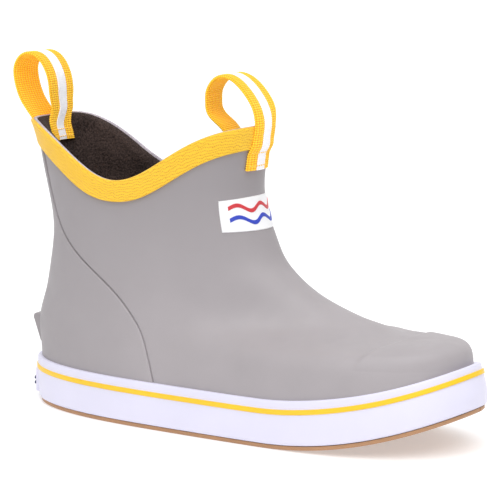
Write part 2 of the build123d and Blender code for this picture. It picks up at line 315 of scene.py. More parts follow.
def collar_ring(name, profile, spacing=0.8, far_drop=0.0):
    """Ring that follows the collar; the profile is (outward offset, drop below the collar).

    The top edge sinks by far_drop from the outer to the inner side of the boot.
    """
    profile = dense(rounded(profile), spacing)
    rows = []
    side = 0.5 + 0.5 * np.tanh(last(COLLAR_LEVEL, TURNS)[:, 1] / 8)
    for offset, drop in profile:
        extra = far_drop * side * max(0, 1 - drop / 3)
        level = level_where(TURNS, lambda x: collar_height(x, drop + extra))
        rows.append(last(level, TURNS) + offset * outward(level, TURNS))
    loops = np.array(rows)
    middle = loops[np.argmax(profile[:, 0])]
    return swept(name, loops, True, run_length(np.vstack([middle, middle[:1]])), around(profile))


def sole_ring(name, profile, height_z, spacing=1.2, window=None):
    """Ring, or part of one, round the sole; the profile is (outward offset, height above the sole line)."""
    profile = dense(rounded(profile), spacing)
    turns = TURNS if window is None else window
    base, normal = last(0 * turns, turns), outward(0 * turns + 1e-3, turns)
    normal[:, 2] = 0
    normal = unit(normal)
    toe = np.clip((base[:, 0] - TOE_LEAN_START) / TOE_LEAN_RUN, 0, 1)
    rows = []
    for offset, height in profile:
        lean = TOE_LEAN * toe * max(0, (height - SIDEWALL_BEND) / (FOXING_TOP - SIDEWALL_BEND))**1.3
        tuck = HEEL_TUCK * heel_share(base[:, 0]) * max(0, 1 - height / SIDEWALL_BEND)
        p = base + (offset - lean - tuck)[:, None] * normal
        p[:, 2] = height_z(p[:, 0], height)
        rows.append(p)
    loops = np.array(rows)
    middle = loops[np.argmax(profile[:, 0])]
    length = run_length(np.vstack([middle, middle[:1]]) if window is None else middle)
    return swept(name, loops, window is None, length, around(profile))


# ---- materials ----
def linear(rgb):
    """Linear colour from display values of 0 to 255."""
    part = [c / 255 for c in rgb]
    return [c / 12.92 if c <= 0.04045 else ((c + 0.055) / 1.055)**2.4 for c in part] + [1.0]


class Finish:
    """Builds one node material around a Principled shader."""

    def __init__(self, name, **constants):
        self.material = bpy.data.materials.new(name)
        self.material.use_nodes = True
        self.tree = self.material.node_tree
        self.shader = self.tree.nodes["Principled BSDF"]
        self.coordinates = self.tree.nodes.new("ShaderNodeTexCoord")
        for socket, value in constants.items():
            self.shader.inputs[socket.replace("_", " ")].default_value = value

    def node(self, kind, *inputs, **settings):
        made = self.tree.nodes.new(kind)
        for key, value in settings.items():
            setattr(made, key, value)
        for i, value in enumerate(inputs):
            if isinstance(value, bpy.types.NodeSocket):
                self.tree.links.new(value, made.inputs[i])
            elif value is not None:
                made.inputs[i].default_value = value
        return made

    def math(self, operation, *values):
        return self.node("ShaderNodeMath", *values, operation=operation).outputs[0]

    def uv(self):
        """The two texture coordinates, in mm along and across the piece."""
        split = self.node("ShaderNodeSeparateXYZ", self.coordinates.outputs["UV"])
        return split.outputs[0], split.outputs[1]

    def noise(self, size, detail=2.0, roughness=0.5, source="Object"):
        """Noise whose features are about size metres, or mm on UV coordinates."""
        made = self.node("ShaderNodeTexNoise")
        self.tree.links.new(self.coordinates.outputs[source], made.inputs["Vector"])
        made.inputs["Scale"].default_value = 1 / size
        made.inputs["Detail"].default_value = detail
        made.inputs["Roughness"].default_value = roughness
        return made.outputs["Fac"]

    def spread(self, value, low, high, to_low=0.0, to_high=1.0):
        """A value mapped from one range to another and kept inside it."""
        made = self.node("ShaderNodeMapRange", value, low, high, to_low, to_high)
        made.clamp = True
        return made.outputs[0]

    def ramp(self, value, stops):
        made = self.node("ShaderNodeValToRGB", value)
        elements = made.color_ramp.elements
        while len(elements) < len(stops):
            elements.new(0.5)
        for element, (position, rgb) in zip(elements, stops):
            element.position = position
            element.color = linear(rgb)
        return made.outputs[0]

    def blend(self, factor, a, b):
        made = self.node("ShaderNodeMix", data_type="RGBA")
        self.tree.links.new(factor, made.inputs[0])
        for socket, value in ((made.inputs[6], a), (made.inputs[7], b)):
            if isinstance(value, bpy.types.NodeSocket):
                self.tree.links.new(value, socket)
            else:
                socket.default_value = linear(value)
        return made.outputs[2]

    def bump(self, height, depth, under=None):
        """Surface relief of a depth in metres."""
        made = self.node("ShaderNodeBump")
        made.inputs["Strength"].default_value = 1.0
        made.inputs["Distance"].default_value = depth
        self.tree.links.new(height, made.inputs["Height"])
        if under is not None:
            self.tree.links.new(under, made.inputs["Normal"])
        return made.outputs[0]

    def done(self, colour, roughness=None, normal=None):
        self.tree.links.new(colour, self.shader.inputs["Base Color"])
        if roughness is not None:
            self.tree.links.new(roughness, self.shader.inputs["Roughness"])
        if normal is not None:
            self.tree.links.new(normal, self.shader.inputs["Normal"])
        return self.material


def rubber_finish(name, rgb, shade, roughness, grain, cloud=0.02, fade=None, **constants):
    """Moulded rubber: faint cloudy tone, fine grain and roughness that varies.

    fade holds the shares of the tone that are left at the heel and at the top of the shaft: painted shade,
    which darkens them as the light falls there.
    """
    f = Finish(name, **constants)
    clouds = f.spread(f.noise(cloud, 4.0, 0.55), 0.3, 0.7)
    specks = f.noise(0.0006, 3.0, 0.6)
    deep = [c * shade for c in rgb]
    tone = f.blend(clouds, deep, rgb)
    tone = f.blend(f.spread(specks, 0.62, 0.8, 0.0, 0.25), tone, [min(255, c * 1.08) for c in rgb])
    # Painted shade: darker towards the heel and towards the top of the shaft, as the light falls there.
    if fade:
        painted_shade_axes = f.node("ShaderNodeSeparateXYZ", f.coordinates.outputs["Object"]).outputs
        tone = f.blend(f.spread(painted_shade_axes[0], -0.11, -0.03, 1.0, 0.0), tone, [c * fade[0] for c in rgb])
        tone = f.blend(f.spread(painted_shade_axes[2], 0.045, 0.105, 0.0, 1.0), tone, [c * fade[1] for c in rgb])
    rough = f.spread(f.noise(0.006, 3.0), 0.3, 0.7, roughness - 0.05, roughness + 0.06)
    relief = f.bump(specks, grain)
    relief = f.bump(f.noise(0.005, 2.0), grain * 3, relief)
    return f.done(tone, rough, relief)


def woven_finish(name, deep, bright, pitch_along, pitch_across, depth, painted_glow=0.0):
    """Webbing: cords along the strap crossed by picks, lighter on the crowns than between them; the darker
    tone between them is painted shade in the weave's hollows.

    glow is a mild emission of the weave's own colour: painted light that keeps the strap bright, its shaded
    faces too, in place of light that comes through the weave.
    """
    f = Finish(name, Sheen_Weight=0.1, Sheen_Roughness=0.5, Emission_Strength=painted_glow)
    along, across = f.uv()
    cord = f.math("MULTIPLY", across, math.pi / pitch_across)
    cord_wave = f.math("ABSOLUTE", f.math("SINE", cord))
    pick_wave = f.math("ABSOLUTE", f.math("SINE", f.math("MULTIPLY", along, math.pi / pitch_along)))
    crown = f.math("MULTIPLY", f.math("POWER", cord_wave, 0.6), f.math("POWER", pick_wave, 0.6))
    fibres = f.noise(0.35, 3.0, 0.6, "UV")
    # Painted shade: the tone is darker between the crowns, in the weave's hollows.
    tone = f.ramp(f.math("ADD", crown, f.math("MULTIPLY", f.math("SUBTRACT", fibres, 0.5), 0.5)),
                  [(0.1, deep), (0.5, bright), (1.0, [min(255, c * 1.04) for c in bright])])
    # Painted light: the weave glows a little in its own colour.
    if painted_glow:
        f.tree.links.new(tone, f.shader.inputs["Emission Color"])
    relief = f.bump(crown, depth)
    relief = f.bump(fibres, depth * 0.3, relief)
    rough = f.spread(fibres, 0.3, 0.7, 0.62, 0.8)
    return f.done(tone, rough, relief)


def tape_finish(name, deep, bright):
    """Bias-woven binding: long ribs that run and slant with the tape and wander, and fine cross threads;
    darker between the ribs, which is painted shade in the grooves.
    """
    f = Finish(name, Sheen_Weight=0.25, Sheen_Roughness=0.5)
    along, across = f.uv()
    sway = f.math("MULTIPLY", f.math("SINE", f.math("MULTIPLY", along, 2 * math.pi / 4.6)), 0.12)
    wander = f.math("MULTIPLY", f.math("SUBTRACT", f.noise(2.6, 2.0, 0.5, "UV"), 0.5), 2.4)
    wander = f.math("ADD", wander, f.math("MULTIPLY", along, 0.12))
    place_across = f.math("ADD", f.math("ADD", across, sway), wander)
    rib = f.math("ABSOLUTE", f.math("SINE", f.math("MULTIPLY", place_across, math.pi / 1.15)))
    slant = f.math("ADD", f.math("MULTIPLY", along, math.pi / 0.9), f.math("MULTIPLY", across, 1.9))
    thread = f.math("ABSOLUTE", f.math("SINE", slant))
    weave = f.math("ADD", f.math("MULTIPLY", f.math("POWER", rib, 0.7), 0.7), f.math("MULTIPLY", thread, 0.3))
    fibres = f.noise(0.4, 3.0, 0.6, "UV")
    value = f.math("ADD", weave, f.math("MULTIPLY", f.math("SUBTRACT", fibres, 0.5), 0.35))
    # Painted shade: the tone is darker where the weave is low, between the ribs and threads.
    tone = f.ramp(value, [(0.1, deep), (0.6, bright), (1.0, [min(255, c * 1.03) for c in bright])])
    relief = f.bump(weave, 0.00022)
    relief = f.bump(fibres, 0.00006, relief)
    return f.done(tone, f.spread(fibres, 0.3, 0.7, 0.6, 0.78), relief)


def knit_finish(name, deep, light, size=0.0011):
    """Brushed knit lining: small cells under a fuzzy, mottled pile."""
    f = Finish(name, Sheen_Weight=0.04, Sheen_Roughness=0.6, Specular_IOR_Level=0.12)
    cells = f.node("ShaderNodeTexVoronoi", f.coordinates.outputs["Object"])
    cells.inputs["Scale"].default_value = 1 / size
    grain = f.noise(0.0007, 3.0, 0.65)
    clouds = f.noise(0.012, 3.0, 0.5)
    value = f.math("ADD", f.math("MULTIPLY", grain, 0.7), f.math("MULTIPLY", clouds, 0.3))
    tone = f.ramp(value, [(0.38, deep), (0.62, light)])
    relief = f.bump(cells.outputs["Distance"], 0.0003)
    relief = f.bump(grain, 0.00025, relief)
    return f.done(tone, f.spread(grain, 0.3, 0.7, 0.85, 0.95), relief)


def foam_finish(name, deep, light):
    """Closed-cell foam or fibre board: small pits and a mottled tone."""
    f = Finish(name)
    cells = f.node("ShaderNodeTexVoronoi", f.coordinates.outputs["Object"])
    cells.inputs["Scale"].default_value = 900
    grain = f.noise(0.0015, 3.0)
    tone = f.ramp(grain, [(0.3, deep), (0.7, light)])
    return f.done(tone, f.spread(grain, 0.3, 0.7, 0.7, 0.9), f.bump(cells.outputs["Distance"], 0.00025))


# The grey rubber's fade is painted shade, darker at the heel and at the top of the shaft.
grey_rubber = rubber_finish("grey_rubber", (170, 164, 167), 0.975, 0.50, 0.000012, fade=(0.925, 0.905))
white_rubber = rubber_finish("white_rubber", (229, 227, 246), 0.985, 0.40, 0.00001)
yellow_rubber = rubber_finish("yellow_rubber", (252, 206, 40), 0.97, 0.42, 0.00001)
gum_rubber = rubber_finish("gum_rubber", (190, 143, 104), 0.93, 0.5, 0.00003)
navy_rubber = rubber_finish("navy_rubber", (34, 44, 92), 0.9, 0.4, 0.00001)
red_rubber = rubber_finish("red_rubber", (214, 62, 70), 0.95, 0.4, 0.00001)
blue_rubber = rubber_finish("blue_rubber", (56, 76, 196), 0.95, 0.4, 0.00001)
label_film = rubber_finish("label_film", (250, 250, 252), 0.985, 0.33, 0.000008)
# The collar tape is darker between its ribs: painted shade.
collar_tape_finish = tape_finish("collar_tape_weave", (214, 138, 16), (254, 201, 42))
# The webbing, its white stripe and the thread glow a little (painted light) and are darker between their
# crowns (painted shade).
webbing = woven_finish("yellow_webbing", (232, 138, 10), (255, 203, 42), 1.0, 1.7, 0.00025, 0.2)
webbing_white = woven_finish("white_webbing", (214, 212, 224), (253, 252, 255), 0.8, 0.55, 0.00006, 0.14)
thread = woven_finish("yellow_thread", (250, 200, 90), (254, 228, 130), 0.5, 0.4, 0.00005, 0.1)
lining_knit = knit_finish("dark_mesh", (30, 22, 20), (80, 66, 62))
rim_knit = knit_finish("rim_edge", (176, 168, 178), (222, 214, 224), 0.0008)
backing_cloth = knit_finish("cotton_backing", (196, 188, 174), (224, 218, 206))
stiffener = foam_finish("stiffener", (120, 96, 70), (150, 124, 94))
fibre_board = foam_finish("fibre_board", (150, 118, 82), (186, 152, 112))
foam = foam_finish("foam", (70, 72, 78), (104, 106, 112))


def finish_piece(piece, material, slot, body, *nodes):
    """Gives a piece its material and body, and hides the CAD nodes it stands in for."""
    piece.data.materials.clear()
    piece.data.materials.append(material)
    if body is not None:
        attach(piece, body)
    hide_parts(*nodes)
    return piece


# ---- upper: vamp and rear quarter ----
DENSE_TURNS = np.linspace(0, 1, 1201)
UPPER_LOW = level_where(DENSE_TURNS, lambda x: foxing_z(x, FOXING_TOP - 3.0))
UPPER_TOP = level_where(DENSE_TURNS, lambda x: collar_height(x, 1.2))
DENSE_LEVELS = np.linspace(0, TOP_LEVEL, 361)


def seam_turns():
    """Turn at which each level meets the side seam."""
    low, high = np.zeros_like(DENSE_LEVELS), np.ones_like(DENSE_LEVELS)
    for _ in range(36):
        middle = (low + high) / 2
        p = last(DENSE_LEVELS, middle)
        ahead = p[..., 0] > seam_curve(p[..., 2])
        high, low = np.where(ahead, middle, high), np.where(ahead, low, middle)
    return (low + high) / 2


SEAM_TURN = seam_turns()


def shell(name, place_across, place_up, front, outer, inner):
    """Shell of the upper between the foxing and the collar, on one side of the seam.

    outer gives the skin's distance from the last for places across the shell and their points.
    """
    across, up = np.meshgrid(place_across, place_up)
    level = np.full_like(across, 3.0)
    for _ in range(40):
        edge = np.interp(level, DENSE_LEVELS, SEAM_TURN)
        if front:
            edge = edge - 0.02
            turn = 1 - (1 - edge) * np.abs(across)
        else:
            turn = edge * np.abs(across)
        low = np.interp(turn, DENSE_TURNS, UPPER_LOW)
        top = np.interp(turn, DENSE_TURNS, UPPER_TOP)
        level = 0.5 * level + 0.5 * (low + up * (top - low))
    signed = np.where(across < 0, turn, 2 - turn)
    points, normals = last(level, signed), outward(level, signed)
    lift = outer(across, points)[..., None]
    skin = points + lift * normals
    under = points + inner * normals
    loops = np.concatenate([skin, under[::-1]])
    return swept(name, loops, False, tight=60)


def edge_spaced(count, edge, fine):
    """Places from -1 to 1 with extra ones close to both ends."""
    inner = np.linspace(-1 + edge, 1 - edge, count)
    near = edge * (1 - np.cos(np.linspace(0, np.pi / 2, fine, endpoint=False)))
    return np.concatenate([-1 + near, inner, (1 - near)[::-1]])


QUARTER_REACH, EDGE_ROUND = 62.0, 0.7


def quarter_lift(across, _):
    """The quarter lies over the vamp, with a rounded edge along the seam."""
    near = np.clip(1 - (1 - np.abs(across)) * QUARTER_REACH / EDGE_ROUND, 0, 1)
    return OVERLAY_T * np.sqrt(np.clip(1 - near**2, 0, 1)) - 0.02


TOE_LINE_X, TOE_LINE_Y, TOE_LINE_RADIUS = 95, 8, 91.8
GROOVE_DEPTH, GROOVE_WIDTH = 0.6, 0.5


def vamp_lift(_, points):
    """The toe stiffener shows as a low step with a soft ridge along an arc over the toe.

    A fine groove runs along the seam, and soft swells fill the toe, the vamp and the instep.
    """
    x, z = points[..., 0], points[..., 2]
    away = np.hypot(x - TOE_LINE_X, points[..., 1] - TOE_LINE_Y) - TOE_LINE_RADIUS
    fade = np.clip((x - 164) / 16, 0, 1)
    fade = fade**2 * (3 - 2 * fade) * np.clip((z - 36) / 5, 0, 1)
    step = 1.0 / (1 + np.exp(-away / 0.9)) + 0.32 * np.exp(-(away / 1.3)**2)
    slope = seam_curve(z + 0.5) - seam_curve(z - 0.5)
    ahead = (x - seam_curve(z)) / np.hypot(1, slope)
    groove = GROOVE_DEPTH * np.exp(-(np.maximum(ahead, 0) / GROOVE_WIDTH)**2)
    bulge = 0.9 * np.exp(-((x - 206) / 9)**2) * np.clip((z - 34) / 8, 0, 1)
    fill = (0.5 * np.exp(-((x - 166.5) / 5)**2) + 0.26 * np.exp(-((x - 155) / 10)**2)
            + 0.1 * np.exp(-((x - 181.5) / 4)**2)) * np.clip((z - 38) / 5, 0, 1)
    instep = 0.62 * np.exp(-((z - 65) / 6.5)**2) * np.clip((x - 105) / 15, 0, 1)
    return step * fade + bulge + fill + instep - groove


rear_quarter = shell("rear_quarter_shell", edge_spaced(300, 0.012, 10), np.linspace(0, 1, 260), False,
                     quarter_lift, -1.0)
finish_piece(rear_quarter, grey_rubber, "grey_rubber", "boot", "rear_quarter")
vamp = shell("vamp_shell", edge_spaced(460, 0.06, 46), np.linspace(0, 1, 380), True, vamp_lift, -1.8)
finish_piece(vamp, grey_rubber, "grey_rubber", "boot", "vamp_upper")

# ---- collar: tape, rim and lining ----
BAND_PROFILE = [(-0.4, 9.2, 0), (0.9, BAND_HEIGHT, 0.3), (BAND_T, BAND_HEIGHT - 0.1, 0.45),
                (BAND_T + 0.12, 5.0, 0), (BAND_T + 0.05, 0.15, 0.9), (-0.2, 0.1, 0.4), (-0.4, 1.2, 0)]
RIM_PROFILE = [(-0.25, 0.35, 0.4), (-1.5, 0.35, 0.6), (-1.6, 1.5, 0.2), (-0.3, 1.5, 0.2)]
tape = collar_ring("collar_tape_band", BAND_PROFILE, 0.8, far_drop=0.7)
finish_piece(tape, collar_tape_finish, "yellow_webbing", "boot", "collar_tape")
rim = collar_ring("collar_rim_edge", RIM_PROFILE, 0.4)
finish_piece(rim, rim_knit, "cotton_backing", "boot", "collar_rim")


def lining_shell():
    """Lining from the insole board to just under the rim, where its edge closes up."""
    low = level_where(TURNS, lambda x: sole_z(x) + 10.6)
    top = level_where(TURNS, lambda x: collar_height(x, 1.2))
    rows = []
    for share in np.linspace(0, 1, 130):
        level = low + share * (top - low)
        inside = LINING_IN + 2.6 * max(0, (share - 0.96) / 0.04)**2
        rows.append(last(level, TURNS) + inside * outward(level, TURNS))
    for share in np.linspace(1, 0, 60):
        level = low + share * (top - low)
        outside = LINING_IN + LINING_T + 1.3 * max(0, (share - 0.96) / 0.04)
        rows.append(last(level, TURNS) + outside * outward(level, TURNS))
    return swept("lining_shaft", np.array(rows), True, tight=60)


lining = finish_piece(lining_shell(), lining_knit, "dark_mesh", "boot", "lining")

# ---- sole ----
FOXING_PROFILE = [(-3.5, 3.2, 0), (1.2, 1.95, 0.2), (FOXING_T, 2.2, 0.9), (FOXING_T + 0.1, 10.5, 0),
                  (FOXING_T - 0.1, FOXING_TOP, 0.8), (1.0, FOXING_TOP + 0.05, 0.3),
                  (-5.0, FOXING_TOP - 0.4, 0)]
foxing = sole_ring("foxing_wall", FOXING_PROFILE, foxing_z)
finish_piece(foxing, white_rubber, "white_rubber", "boot", "foxing")
STRIPE_TOP, STRIPE_HEIGHT, STRIPE_FACE = FOXING_TOP - 3.6, 2.2, FOXING_T + 0.36
STRIPE_PROFILE = [(1.5, STRIPE_TOP - STRIPE_HEIGHT, 0), (STRIPE_FACE, STRIPE_TOP - STRIPE_HEIGHT, 0.3),
                  (STRIPE_FACE, STRIPE_TOP, 0.3), (1.5, STRIPE_TOP, 0)]
stripe = sole_ring("foxing_stripe_line", STRIPE_PROFILE, stripe_z, 0.5)
finish_piece(stripe, yellow_rubber, "yellow_rubber", "boot", "foxing_stripe")
GUM_OFFSET = FOXING_T - 0.9
SOLE_STATIONS, SOLE_COLUMNS = 560, 200
SIPE_PITCH, SIPE_DEPTH, SIPE_HALF, SIPE_POINT = 9.0, 1.2, 0.8, 7.0


def plan(grow):
    """Points over the plan of the sole, heel to toe by outer to inner side, with z left at 0."""
    turn = np.arccos(1 - 2 * np.linspace(0.0004, 0.9996, SOLE_STATIONS)) / np.pi
    turn = 0.35 * np.linspace(0.006, 0.994, SOLE_STATIONS) + 0.65 * turn
    grow = (grow - 0.8 * HEEL_TUCK * heel_share(last(0 * turn, turn)[:, 0]))[:, None]
    outer = last(0 * turn, turn) + grow * outward(0 * turn + 1e-3, turn)
    inner = last(0 * turn, 2 - turn) + grow * outward(0 * turn + 1e-3, 2 - turn)
    share = np.linspace(0, 1, SOLE_COLUMNS)[:, None, None]
    flat = outer[None] * (1 - share) + inner[None] * share
    flat[..., 2] = 0
    return flat


def outsole_solid():
    """Gum outsole with rounded edge and chevron sipes in the tread."""
    under, over, tread = plan(GUM_OFFSET), plan(GUM_OFFSET), plan(GUM_OFFSET - 0.7)
    x, y = tread[..., 0], tread[..., 1]
    lead = (x - 10 - SIPE_POINT * (1 - np.abs(y) / 34)) % SIPE_PITCH
    share = np.linspace(0, 1, SOLE_COLUMNS)
    from_side = np.minimum(share, share[::-1])[:, None] * np.ptp(y, axis=0)[None, :]
    reach = np.clip((from_side - 4.5) / 0.6, 0, 1)
    reach = reach * np.clip((x - 12) / 0.6, 0, 1) * np.clip((209 - x) / 0.6, 0, 1)
    groove = np.clip((SIPE_HALF - np.abs(lead - SIPE_HALF)) / 0.35, 0, 1) * reach
    tread[..., 2] = sole_z(x) + SIPE_DEPTH * groove
    under[..., 2] = sole_z(under[..., 0]) + 0.6
    over[..., 2] = sole_z(over[..., 0]) + GUM_T
    rows = [*tread, under[-1], over[-1], *over[-2:0:-1], over[0], under[0]]
    return swept("outsole_gum", np.array(rows), False, tight=35)


finish_piece(outsole_solid(), gum_rubber, "gum_rubber", "boot", "outsole")


def bed(name, low, high, inset, crown):
    """Footbed layer inside the lining: a closed pad with a rolled edge and a slight heel cup."""
    turn = np.linspace(0.012, 0.988, 260)
    share = np.linspace(-1, 1, 90)
    rows = []
    for height, ways in ((high, share), (low, share[::-1])):
        level = level_where(turn, lambda x: sole_z(x) + height)
        other = level_where(2 - turn, lambda x: sole_z(x) + height)
        a = last(level, turn) + (LINING_IN - inset) * outward(level, turn)
        b = last(other, 2 - turn) + (LINING_IN - inset) * outward(other, 2 - turn)
        for w in ways:
            p = a * (1 - w) / 2 + b * (1 + w) / 2
            cup = crown * abs(w)**3 * np.exp(-((p[:, 0] - 20) / 55)**2)
            roll = 0.45 * max(0, (abs(w) - 0.94) / 0.06)**2
            p[:, 2] = sole_z(p[:, 0]) + height + (cup - roll if height == high else 0.35 * roll)
            rows.append(p)
    return swept(name, np.array(rows), False, tight=60)


footbed = finish_piece(bed("footbed_foam", 10.6, 14.5, 0.3, 0.0), foam, "foam", "boot", "footbed")
cover = bed("footbed_cover_cloth", 14.6, 15.6, 0.3, 0.5)
finish_piece(cover, lining_knit, "dark_mesh", "boot", "footbed_cover")


# ---- pieces on the walls: label, marks and straps ----
def on_front(y, z, offset):
    """Points at a distance from the last's front wall."""
    level, turn = on_wall(y, z, True)
    return last(level, turn) + np.asarray(offset)[..., None] * outward(level, turn)


def patch(name, ys, low, high, inner, outer, rows=40, edge=0.15):
    """Thin piece on the front wall between two heights, which may depend on y, with eased edges."""
    share = np.linspace(0, 1, rows)
    y, s = np.meshgrid(ys, share)
    z = low(y) + s * (high(y) - low(y))
    away = np.minimum(s * (high(y) - low(y)), (1 - s) * (high(y) - low(y)))
    away = np.minimum(away, np.minimum(y - ys[0], ys[-1] - y))
    ease = np.sqrt(np.clip(1 - np.clip(1 - away / edge, 0, 1)**2, 0, 1))
    skin = on_front(y, z, inner + (outer - inner) * (0.4 + 0.6 * ease))
    under = on_front(y, z, np.full_like(y, inner))
    return swept(name, np.concatenate([skin, under[::-1]]), False, ys, tight=50)


# The ends of the label droop a little, as a straight patch does on a cone.
LABEL_LOW, LABEL_HIGH, LABEL_HALF = 86.0, 100.2, 17.4
LABEL_DROOP_LOW, LABEL_DROOP_HIGH = 0.0014, 0.0042
WAVE_RISE, WAVE_HALF = 1.3, 0.9
label = patch("front_label_patch", np.linspace(-LABEL_HALF, LABEL_HALF, 150),
              lambda y: LABEL_LOW - LABEL_DROOP_LOW * y**2,
              lambda y: LABEL_HIGH - LABEL_DROOP_HIGH * y**2, -0.2, 0.5, 60, 0.3)
finish_piece(label, label_film, "white_rubber", "boot", "front_label")
for name, middle, material, slot in (("upper", 95.6, red_rubber, "red_rubber"),
                                     ("lower", 90.6, blue_rubber, "blue_rubber")):
    strip = patch(f"label_wave_{name}_strip", np.linspace(-15, 15, 240),
                  lambda y: middle - WAVE_HALF + WAVE_RISE * np.cos(y * np.pi / 6),
                  lambda y: middle + WAVE_HALF + WAVE_RISE * np.cos(y * np.pi / 6), 0.3, 0.72, 12, 0.2)
    finish_piece(strip, material, slot, "boot", f"label_wave_{name}")


def eased(share):
    """Smooth step from 0 to 1."""
    share = np.clip(share, 0, 1)
    return share**2 * (3 - 2 * share)


class Loop:
    """One webbing loop, from the end of its outer tail to the end of its inner tail.

    step is the height of the tape's lower edge and rim that of its top edge. lift_off holds how far
    below and above the step the strap bends, and its gap to the tape. The inner leg comes down
    through the points of inner_leg to the inner tail: top, bottom and number of points. drift moves
    the inner leg sideways, and twist turns it.
    """

    def __init__(self, front, tail_low, step, rim, lift_off, arch, inner_leg, inner_tail, drift, twist):
        self.front, self.drift, self.twist = front, drift, twist
        sign = 1 if front else -1
        points = []
        rest = 0.0 if front else OVERLAY_T
        below, above, gap = lift_off
        for z in np.linspace(tail_low, step - below, 5):
            points.append((self.wall(z) + sign * (rest + WEB_T / 2 + 0.05), z))
        for z in np.linspace(step + above, rim - 0.8, 4):
            points.append((self.wall(z) + sign * (BAND_T + WEB_T / 2 + gap), z))
        points += arch + inner_leg
        for z in np.linspace(*inner_tail):
            points.append((self.wall(z) + sign * (LINING_IN - WEB_T / 2), z))
        points = np.array(points)
        curve = natural_spline(run_length(points), points)
        fine = np.linspace(0, run_length(points)[-1], 4000)
        line = curve(fine)
        self.length = run_length(line)[-1]
        self.at = lambda s: np.stack([np.interp(s, run_length(line), line[:, i]) for i in range(2)], -1)
        self.rim = rim
        self.crown = run_length(line)[np.argmax(line[:, 1])]

    def wall(self, z):
        """x of the last's wall at a height."""
        level, turn = on_wall(0.0, float(z), self.front)
        return float(last(level, turn)[..., 0])

    def sheet(self, s, y):
        """Middle surface of the strap at distances s along it and y across it."""
        s, y = np.broadcast_arrays(np.asarray(s, float), np.asarray(y, float))
        centre = self.at(s)
        x, z = centre[..., 0], centre[..., 1]
        over = eased((s - self.crown + 12) / 30)
        hold = eased(np.where(s < self.crown, (self.rim + 9 - z) / 10, (self.rim + 2 - z) / 6))
        hold = hold * (1 + 0.2 * over)
        if self.front:
            pinch = 0.1 * np.exp(-((z - self.rim + 3) / 7)**2) + 0.04 * np.clip((self.rim + 6 - z) / 10, 0, 1)
            y = y * (1 - (1 - over) * pinch)
        else:
            y = y * (1 - 0.12 * over * eased((self.rim + 13 - z) / 8))
        across = y + self.drift * over * (1 - 1.2 * eased((self.rim + 6 - z) / 10))
        level, turn = on_wall(across, np.clip(z, 100, 136), self.front)
        middle, middle_turn = on_wall(0 * y, np.clip(z, 100, 136), self.front)
        curl = last(level, turn)[..., 0] - last(middle, middle_turn)[..., 0]
        return np.stack([x + hold * curl + self.twist * over * y, across, z], -1)

    def skin(self, s, y, lift):
        """Points a distance outward from the middle surface."""
        tiny = 0.05
        along = self.sheet(s + tiny, y) - self.sheet(s - tiny, y)
        across = self.sheet(s, y + tiny) - self.sheet(s, y - tiny)
        normal = unit(np.cross(across, along))
        normal = normal if self.front else -normal
        return self.sheet(s, y) + np.asarray(lift)[..., None] * normal


def strap(name, loop, start, end, half, low, high, pitch_along, pitch_across, relief, scallop, step):
    """Woven strap along a loop: closed sections with rounded, scalloped edges and a raised weave."""
    count = int(2 * half / 0.28)
    across = np.linspace(-1, 1, count)
    stations = np.linspace(start, end, int((end - start) / step))
    w, s = np.meshgrid(across, stations, indexing="ij")
    edge_wave = np.abs(np.sin(np.pi * s / pitch_along))
    y = w * half * (1 - scallop / half * (1 - edge_wave) * np.abs(w)**6)
    near = np.clip((np.abs(w) * half - (half - 0.8)) / 0.8, 0, 1)
    thick = np.sqrt(np.clip(1 - near**2, 0, 1)) * 0.96 + 0.04
    crown = (np.abs(np.sin(np.pi * y / pitch_across)) * np.abs(np.sin(np.pi * s / pitch_along)))**0.6
    middle = (low + high) / 2
    top = middle + (high - middle) * thick + relief * (crown - 0.5) * thick
    bottom = middle + (low - middle) * thick - relief * (crown - 0.5) * thick
    loops = np.concatenate([loop.skin(s, y, top), loop.skin(s, y, bottom)[::-1]])
    across_mm = np.concatenate([across, across[::-1], across[:1]]) * half
    return swept(name, loops, False, stations, across_mm, tight=75)


front_loop = Loop(True, tail_low=111.3, step=121.2, rim=131.2, lift_off=(3.0, 0.7, 0.05), arch=FRONT_ARCH,
                  inner_leg=[(103, 127), (106.2, 122.2)], inner_tail=(116.5, 108.5, 4), drift=0.0, twist=-0.2)
rear_loop = Loop(False, tail_low=107.5, step=118.0, rim=127.4, lift_off=(0.6, 1.2, 0.2), arch=REAR_ARCH,
                 inner_leg=[(9.0, 130.5)], inner_tail=(124.0, 117.8, 3), drift=3.0, twist=0.0)


def blended(piece):
    """Bakes the piece's placement into its mesh."""
    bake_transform(piece)


for end, loop in (("front", front_loop), ("rear", rear_loop)):
    body = f"{end}_loop"
    web = strap(f"{end}_webbing", loop, 0, loop.length, WEB_WIDTH / 2, -WEB_T / 2, WEB_T / 2,
                pitch_along=1.0, pitch_across=1.7, relief=0.3, scallop=0.26, step=0.2)
    finish_piece(web, webbing, "yellow_webbing", None, body, f"{end}_strap_outer", f"{end}_strap_inner")
    blended(web)
    line = strap(f"{end}_webbing_stripe", loop, 0.05, loop.length - 0.05, WEB_STRIPE / 2,
                 WEB_T / 2 - 0.3, WEB_T / 2 + STRIPE_PROUD,
                 pitch_along=0.8, pitch_across=0.55, relief=0.06, scallop=0.18, step=0.26)
    finish_piece(line, webbing_white, "white_webbing", None, f"{end}_loop_stripe")
    blended(line)


